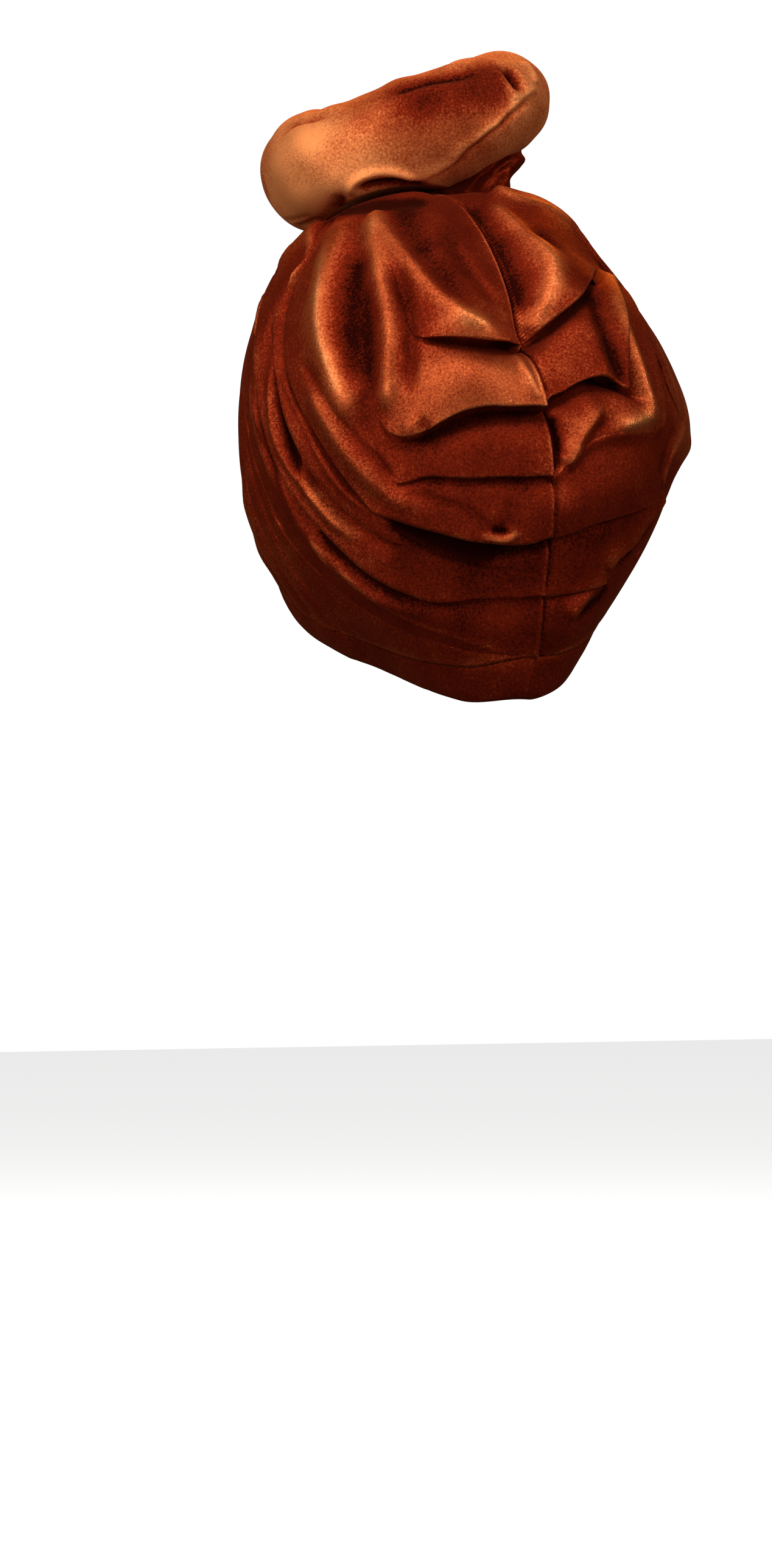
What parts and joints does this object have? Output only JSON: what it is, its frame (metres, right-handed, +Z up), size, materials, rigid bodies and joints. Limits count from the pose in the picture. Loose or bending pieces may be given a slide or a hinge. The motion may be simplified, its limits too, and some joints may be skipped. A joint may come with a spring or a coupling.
{
  "type": "turban headwrap",
  "caption": "Velvet turban headwrap, pleated into a centre back seam, with a turned rim band and a padded ring carried on the crown by a gathered stem.",
  "frame": {"origin": "middle of the head opening, on the line down through the centre of the head", "axes": "+Z up through the crown, -Y the way the wearer faces, +X the wearer's left"},
  "size_m": [0.1796, 0.2118, 0.2793],
  "materials": {
    "left_panel": "rust velvet with a soft nap",
    "right_panel": "rust velvet with a soft nap",
    "rim_band": "rust velvet, turned and hemmed",
    "top_roll": "rust velvet over soft padding",
    "knot_stem": "rust velvet, gathered"
  },
  "bodies": {
    "root": {"left_panel": "left_panel", "right_panel": "right_panel", "rim_band": "rim_band", "top_roll": "top_roll", "knot_stem": "knot_stem"}
  },
  "joints": []
}
